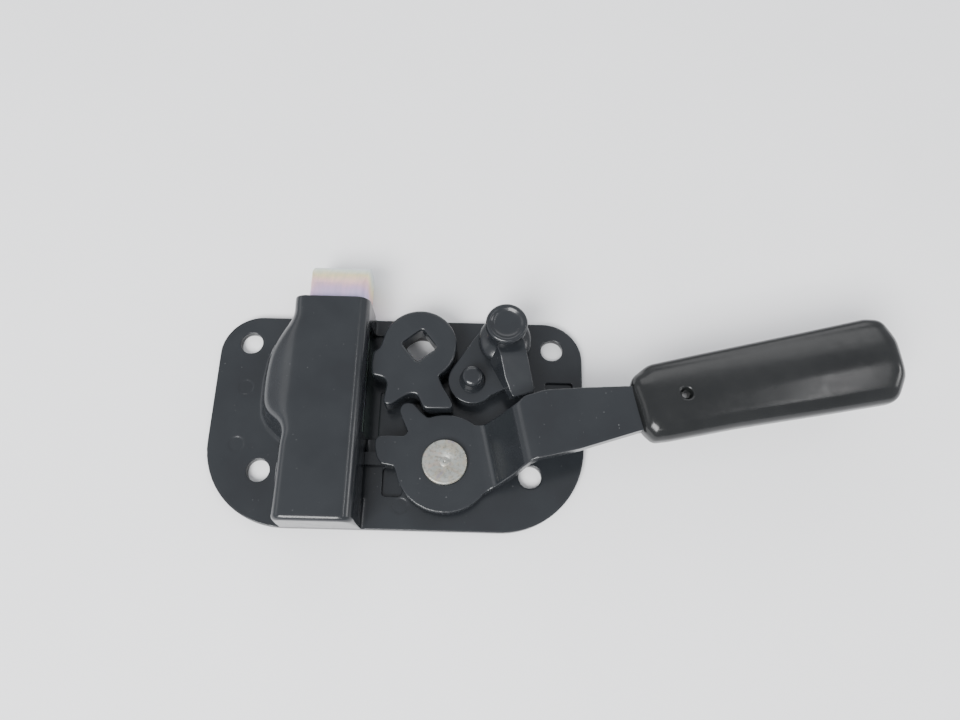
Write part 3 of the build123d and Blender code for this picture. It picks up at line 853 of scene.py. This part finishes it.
@dataclass
class Handle:
    """The toothed hub with its riser and arm, the grip, the drive pin and the pivot rivet."""

    finishes: Finishes
    pivot: Point = PIVOT
    pivot_hole: float = 8.05
    turn: float = 12.5
    hub_radius: float = 19.0
    hub: Point = (6.2, 11.7)
    thick: float = 5.5
    arm_top: float = 31.0
    arm_end: float = 163.0
    arm_half: float = 8.8
    grip_half: float = 7.4
    grip_edge: float = 5.8
    drive: Point = (-4.0, -11.0)
    vent: Point = (91.3, 3.4)
    grain: float = 0.40

    def along(self, s: float, t: float) -> Point:
        """Return the plan point at a distance along the arm and to its left."""
        turn = math.radians(self.turn)
        return (self.pivot[0] + s * math.cos(turn) - t * math.sin(turn),
                self.pivot[1] + s * math.sin(turn) + t * math.cos(turn))

    def strap(self) -> bpy.types.Object:
        """Make the strap's bent side view and turn it in line with the arm."""
        low, high = self.hub
        top = self.arm_top
        under = top - self.thick
        side = [(0, low), (19.2, low), (33.7, under), (self.arm_end, under), (self.arm_end, top), (31.0, top),
                (16.5, high), (0, high)]
        shape = rounded(side, [0, 12.0, 4.5, 0, 0, 9.5, 7.5, 0], 10)
        body = pull("handle_lever", shape, -40, 40, Plane.SECTION)
        pick(body)
        bpy.ops.object.mode_set(mode="EDIT")
        bpy.ops.mesh.select_all(action="SELECT")
        mesh = bmesh.from_edit_mesh(body.data)
        for vertex in mesh.verts:
            x, y = self.along(vertex.co.x / MM, vertex.co.y / MM)
            vertex.co.x = x * MM
            vertex.co.y = y * MM
        bmesh.update_edit_mesh(body.data)
        bpy.ops.object.mode_set(mode="OBJECT")
        return body

    def build_lever(self) -> None:
        """Make the hub, riser and arm as one dipped piece."""
        body = self.strap()
        plan = [(27.4, -0.9), (31.4, -3.4), (35.3, -3.5), (41.0, -1.6), (46.8, 0.9), (49.8, 3.4), (57.1, 5.8),
                (70.9, 7.0), (88.9, 8.1)]
        plan += [self.along(self.arm_end, self.arm_half), self.along(self.arm_end, -self.arm_half)]
        plan += [(91.8, -8.9), (69.7, -16.2), (52.4, -20.6), (46.0, -24.6), (40.4, -27.2), (36.0, -29.6)]
        plan += [polar(self.pivot, 17.5, -60), (self.pivot[0] + 4, self.pivot[1]), (22, -4)]
        shape = rounded(plan, [0, 3, 3, 8, 6, 6, 12, 0, 0, 0, 0, 0, 12, 6, 8, 5, 0, 0, 0, 0], 6)
        combine(body, pull("plan", shape, 0, 60), Join.KEEP)
        low, high = self.hub
        disc = pull("disc", ring(self.pivot, self.hub_radius, 96), low, high)
        combine(disc, pull("front", [(-30, -60), (37.2, -60), (37.2, 20), (-30, 20)], 0, 40), Join.KEEP)
        combine(body, disc, Join.ADD)
        left = [(6.2, -5.9), (5.0, -7.9), (3.6, -8.3), (-3.5, -8.3), (-6.3, -8.8), (-7.1, -10.3),
                (-7.1, -13.0), (-6.0, -16.9), (-4.0, -19.6), (-1.5, -19.9), (0.6, -20.3), (2.4, -24.3),
                (14, -24.0), (16, -8)]
        shape = rounded(left, [0, 0.8, 1, 2, 1.5, 1.5, 2, 2, 1.5, 1, 1, 0, 0, 0], 4)
        combine(body, pull("left", shape, low, high), Join.ADD)
        upper = [(5.6, -6.9), (3.0, -1.4), (1.8, 1.4), (2.0, 3.4), (3.2, 4.9), (5.1, 5.2), (7.1, 4.7),
                 (10.8, 0.9), (12.6, -0.6), (14.4, -1.0), (20, -4.0), (14, -14)]
        shape = rounded(upper, [0, 2, 2, 1.5, 1.5, 1.5, 2, 3, 2, 0, 0, 0], 4)
        combine(body, pull("upper", shape, low, high), Join.ADD)
        drill(body, self.pivot, self.pivot_hole, 0, 20)
        drill(body, self.along(*self.vent), 1.9, 0, 60)
        skin(body, self.grain)
        soften(body, 7)
        settle(body, 0.45)
        publish(body, "handle", ["handle_lever"], self.finishes.paint)

    def crown(self, x: float, y: float) -> float:
        """Return how thick the grip is at a place, as a share of its thickness on the ridge."""
        turn = math.radians(self.turn)
        across = -(x - self.pivot[0]) * math.sin(turn) + (y - self.pivot[1]) * math.cos(turn)
        ridge, half, thinning, power = -1.0, 16.5, 0.42, 1.7
        return 1.0 - thinning * min(abs(across - ridge) / half, 1.0) ** power

    def build_grip(self) -> None:
        """Make the dipped grip: a rounded, slightly crowned bar with a vent hole."""
        plan = [(88.9, 8.0), (90.1, 12.0), (96.0, 17.0), (115.9, 22.0), (131.4, 25.8), (154.9, 31.6),
                (180.3, 38.0), (187.6, 38.0), (191.4, 29.0), (192.4, 14.4), (188.4, 4.8), (166.8, 0.6),
                (128.4, -6.5), (102.5, -12.1), (96.6, -12.9), (92.8, -8.9)]
        outline = rounded(plan, [2, 3, 8, 20, 30, 30, 6, 6, 12, 8, 6, 30, 30, 8, 3, 2], 6)
        middle = self.arm_top - self.thick / 2
        body = pull("handle_grip", outline, middle - self.grip_half, middle + self.grip_half)
        bevel_where(body, self.grip_edge, 10, lambda a, b: abs(a.z - b.z) < 0.01)
        skin(body, 0.8)
        soften(body, 10)
        for vertex in body.data.vertices:
            share = self.crown(vertex.co.x / MM, vertex.co.y / MM)
            vertex.co.z = (middle + (vertex.co.z / MM - middle) * share) * MM
        hole = self.along(*self.vent)
        drill(body, hole, 1.7, 0, 60)
        dish = [(0, middle + 5.6), (2.0, middle + 5.7), (2.7, middle + 7.6), (0, middle + 7.6)]
        combine(body, turned("dish", hole, dish), Join.CUT)
        skin(body, 0.6)
        soften(body, 5)
        settle(body, 0.5)
        publish(body, "handle", ["handle_grip"], self.finishes.grip)

    def build_rivet(self) -> None:
        """Make the pivot rivet with its flat head, centre mark and worn rim."""
        head = self.hub[1] + 0.2
        profile = [(0, 0), (5.0, 0), (5.0, 3.0), (5.6, 3.0), (5.6, head), (8.45, head), (8.7, head + 0.25),
                   (8.7, head + 1.15), (8.45, head + 1.5), (8.1, head + 1.6), (7.5, head + 1.52),
                   (7.2, head + 1.56), (2.2, head + 1.56), (2.0, head + 1.45), (1.85, head + 1.45),
                   (1.65, head + 1.56), (0.6, head + 1.56), (0.3, head + 1.2), (0, head + 1.1)]
        body = turned("pivot_rivet", self.pivot, profile, 96)
        pick(body)
        bpy.ops.object.shade_smooth_by_angle(angle=math.radians(35))
        publish(body, "case", ["pivot_rivet"], self.finishes.rivet)

    def build_drive_pin(self) -> None:
        """Make the pin under the hub's lower left tooth that drives the bolt's lug."""
        low, high = self.hub
        profile = [(0, 3.6), (2.2, 3.6), (2.4, 3.8), (2.4, low), (1.8, low), (1.8, high - 0.8),
                   (0, high - 0.8)]
        body = turned("drive_pin", self.drive, profile, 40)
        pick(body)
        bpy.ops.object.shade_smooth_by_angle(angle=math.radians(35))
        publish(body, "handle", ["drive_pin"], self.finishes.steel)

    def build(self) -> None:
        """Make every piece of the handle."""
        self.build_drive_pin()
        self.build_lever()
        self.build_grip()
        self.build_rivet()


@dataclass
class Follower:
    """The thick toothed cam with its square spindle socket."""

    finishes: Finishes
    centre: Point = SPINDLE
    heights: Point = (6.2, 15.0)
    radius: float = 15.0
    seat: float = 9.55
    square: float = 10.2
    square_turn: float = 38.7

    def build(self) -> None:
        """Make the follower and dress it."""
        low, high = self.heights
        outline = [(9.6, 42.4), (19.4, 38.4), (22.4, 34.0), (23.6, 29.5), (23.0, 26.4), (21.6, 24.0),
                   (19.2, 21.8), (17.4, 19.4), (16.3, 16.1), (18.4, 11.4), (21.9, 6.0), (23.2, 2.1),
                   (11.3, 1.8), (8.8, 7.2), (7.4, 8.0), (5.0, 7.8), (1.9, 5.9), (-1.7, 3.2), (-3.9, 3.1),
                   (-4.8, 4.8), (-4.3, 8.1), (-3.6, 11.8), (-4.4, 13.4), (-6.0, 14.6), (-10.3, 15.2),
                   (-10.6, 19.9), (-10.2, 25.2), (-7.6, 26.4), (-5.9, 33.0), (-1.6, 39.2)]
        radii = [14, 12, 12, 8, 5, 6, 6, 6, 6, 14, 3, 2.4, 2.6, 2.4, 2.4, 4, 6, 2, 1.5, 2, 6, 3, 2, 2, 2,
                 6, 2, 3, 14, 14]
        body = pull("follower", rounded(outline, radii, 6), low, high)
        combine(body, pull("disc", ring(self.centre, self.radius, 96), low, high), Join.ADD)
        boss = turned("boss", self.centre, [(0, 3.4), (12.2, 3.4), (12.2, 8.0), (0, 8.0)])
        combine(body, boss, Join.ADD)
        drill(body, self.centre, self.seat, 3.0, 7.0)
        spread = self.square / math.sqrt(2)
        corners = [polar(self.centre, spread, self.square_turn + 45 + 90 * i) for i in range(4)]
        combine(body, pull("socket", rounded(corners, 0.5, 3), 0, 30), Join.CUT)
        skin(body, 0.32)
        soften(body, 6)
        soften(body, 60, lambda spot: (spot.z - high + 2.6) / 0.8)
        settle(body, 0.45)
        publish(body, "follower", ["follower"], self.finishes.paint)


@dataclass
class Lock:
    """The lock lever: its flat plate, tapered bar, turned knob and pin."""

    finishes: Finishes
    pin: Point = (29.95, 15.0)
    knob: Point = (42.7, 32.4)
    heights: Point = (7.2, 11.7)
    pin_end: float = 9.6
    pin_hole: float = 3.65
    knob_end: float = 10.6
    bar_tops: Point = (15.2, 20.2)
    knob_top: float = 30.6

    def build_plate(self) -> None:
        """Make the lever's flat plate."""
        heading = math.degrees(math.atan2(self.knob[1] - self.pin[1], self.knob[0] - self.pin[0]))
        plan = [polar(self.pin, self.pin_end, heading + 90 + 180 * i / 24) for i in range(25)]
        plan += [polar(self.knob, self.knob_end, heading - 90 + 180 * i / 24) for i in range(25)]
        body = pull("lock_plate", plan, *self.heights)
        tail = [(30.0, 6.4), (35.2, 7.9), (43.8, 12.2), (50.6, 8.8), (54.2, 11.6), (50.0, 24.0), (42.0, 24.0),
                (30.0, 18.0)]
        combine(body, pull("tail", rounded(tail, [0, 2, 2, 2, 2, 0, 0, 0], 4), *self.heights), Join.ADD)
        drill(body, self.pin, self.pin_hole, 0, 20)
        skin(body, 0.32)
        soften(body, 6)
        settle(body, 0.4)
        publish(body, "lock", ["lock_plate"], self.finishes.paint)

    def build_bar(self) -> None:
        """Make the tapered bar, its walls leaning in and its top climbing towards the knob."""
        low = [(36.6, 22.6), (45.0, 6.9), (54.9, 9.7), (51.2, 28.0), (44.0, 35.0)]
        high = [(39.6, 26.6), (47.3, 8.0), (53.9, 10.0), (49.9, 30.0), (44.0, 35.0)]
        radii = [0, 1.5, 1.5, 0, 0]
        levels = [(self.heights[1] - 0.2, rounded(low, radii, 4)), (20.6, rounded(high, radii, 4))]
        body = stack("lock_bar", levels)
        tail, head = self.bar_tops
        slope = [(0, tail), (9.0, tail), (24.0, head), (60.0, head), (60.0, 30.0), (0, 30.0)]
        combine(body, pull("slope", rounded(slope, [0, 14, 8, 0, 0, 0], 8), 30, 70, Plane.SIDE), Join.CUT)
        skin(body, 0.3)
        soften(body, 4)
        settle(body, 0.5)
        publish(body, "lock", ["lock_bar"], self.finishes.paint)

    def build_knob(self) -> None:
        """Make the turned knob with a flared foot, a waist and a dished top."""
        z = self.heights[1]
        top = self.knob_top
        foot = [(0, 7.4), (2.9, 7.4), (2.9, z), (10.8, z + 0.05), (10.8, z + 1.1), (10.0, z + 2.2)]
        waist = [(7.8, z + 3.5), (6.0, z + 5.2), (5.0, z + 7.6), (5.0, z + 9.8), (5.7, z + 12.0),
                 (6.8, z + 14.0), (7.9, z + 15.4), (8.2, z + 16.4)]
        rim = [(8.2, top - 1.2), (8.0, top - 0.5), (7.5, top - 0.05), (6.9, top), (6.2, top - 0.25)]
        dish = [(5.6, top - 0.8), (4.6, top - 1.15), (2.5, top - 1.3), (0, top - 1.35)]
        body = turned("lock_knob", self.knob, foot + waist + rim + dish)
        apply_modifier(body, "SUBSURF", levels=1, render_levels=1)
        pick(body)
        bpy.ops.object.shade_smooth()
        publish(body, "lock", ["lock_knob"], self.finishes.paint)

    def build_pin(self) -> None:
        """Make the pin with its domed, painted head."""
        z = self.heights[1]
        profile = [(0, 0), (3.0, 0), (3.0, 3.0), (5.4, 3.0), (5.4, 6.4), (3.6, 6.4), (3.6, z + 0.2),
                   (5.2, z + 0.2), (5.1, z + 0.7), (4.6, z + 1.4), (4.45, z + 3.0), (4.35, z + 4.6),
                   (4.0, z + 5.6), (3.3, z + 6.2), (2.2, z + 6.4), (0, z + 6.4)]
        body = turned("lock_pin", self.pin, profile)
        pick(body)
        bpy.ops.object.shade_smooth_by_angle(angle=math.radians(50))
        publish(body, "case", ["lock_pin"], self.finishes.paint)

    def build(self) -> None:
        """Make every piece of the lock."""
        self.build_plate()
        self.build_bar()
        self.build_knob()
        self.build_pin()


# ---- studio --------------------------------------------------------------------------------

@dataclass
class Studio:
    """Floor, lights and camera, which leans back from straight above and is rolled a little."""

    lens: float = 28.0
    eye: tuple[float, float, float] = (32.76, -78.41, 294.49)
    lean: float = 19.843
    roll: float = 1.449
    room: float = 0.88

    def floor(self) -> None:
        """Lay the pale floor under the plate."""
        deselect()
        bpy.ops.mesh.primitive_grid_add(x_subdivisions=40, y_subdivisions=40, size=6.0, location=(0, 0, 0))
        sheet = bpy.context.object
        sheet.name = "floor"
        sheet.data.materials.append(FloorPaper().mix())

    def area(self, name: str, place: Sequence[float], aim: Sequence[float], size: Point, power: float,
             tint: Colour = (1, 1, 1)) -> None:
        """Hang a flat light.

        Args:
            name: name of the light.
            place: where it hangs, in metres.
            aim: the point it faces.
            size: width and height in metres.
            power: in watts.
            tint: its colour.
        """
        deselect()
        bpy.ops.object.light_add(type="AREA", location=place)
        lamp = bpy.context.object
        lamp.name = name
        lamp.data.shape = "RECTANGLE"
        lamp.data.size, lamp.data.size_y = size
        lamp.data.energy = power
        lamp.data.color = tint
        lamp.rotation_euler = (Vector(aim) - Vector(place)).to_track_quat("-Z", "Y").to_euler()

    def camera(self) -> None:
        """Set the camera where the eye is."""
        deselect()
        bpy.ops.object.camera_add()
        view = bpy.context.object
        view.name = "eye"
        lean = Matrix.Rotation(math.radians(self.lean), 4, "X")
        roll = Matrix.Rotation(math.radians(self.roll), 4, "Z")
        view.matrix_world = Matrix.Translation(Vector(self.eye) * MM) @ lean @ roll
        view.data.lens = self.lens
        view.data.sensor_width = 36.0
        view.data.clip_start = 0.01
        bpy.context.scene.camera = view

    def world(self) -> None:
        """Fill the room with soft light."""
        world = bpy.data.worlds.new("room")
        bpy.context.scene.world = world
        world.use_nodes = True
        back = world.node_tree.nodes["Background"]
        back.inputs["Color"].default_value = (0.93, 0.95, 1.0, 1.0)
        back.inputs["Strength"].default_value = self.room

    def build(self) -> None:
        """Set up the whole studio."""
        self.floor()
        self.area("overhead", (-0.55, -0.95, 1.25), (0.03, 0.0, 0), (0.9, 0.9), 50.0)
        self.area("far_window", (0.1, 1.5, 1.0), (0.03, 0.05, 0), (1.8, 0.7), 7.0)
        self.area("near_strip", (0.1, -1.5, 1.5), (0.03, 0, 0), (1.2, 0.14), 5.0)
        self.area("ridge_strip", (0.80, 0.10, 1.2), (0.13, 0.02, 0), (0.9, 0.05), 2.0)
        self.area("left_side", (-1.4, 0.3, 0.8), (0, 0, 0), (1.2, 0.5), 2.0)
        self.area("right_side", (1.2, 0.1, 0.55), (0, 0, 0), (0.5, 0.25), 2.5)
        self.camera()
        self.world()


def main() -> None:
    """Build the latch's looks round its frame."""
    logging.basicConfig(level=logging.INFO, format="%(name)s: %(message)s")
    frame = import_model()
    finishes = Finishes()
    finishes.dress_frame(frame)
    Studio().build()
    for maker in (Case(finishes), Bolt(finishes), Handle(finishes), Follower(finishes), Lock(finishes)):
        maker.build()


if __name__ == "__main__":
    main()
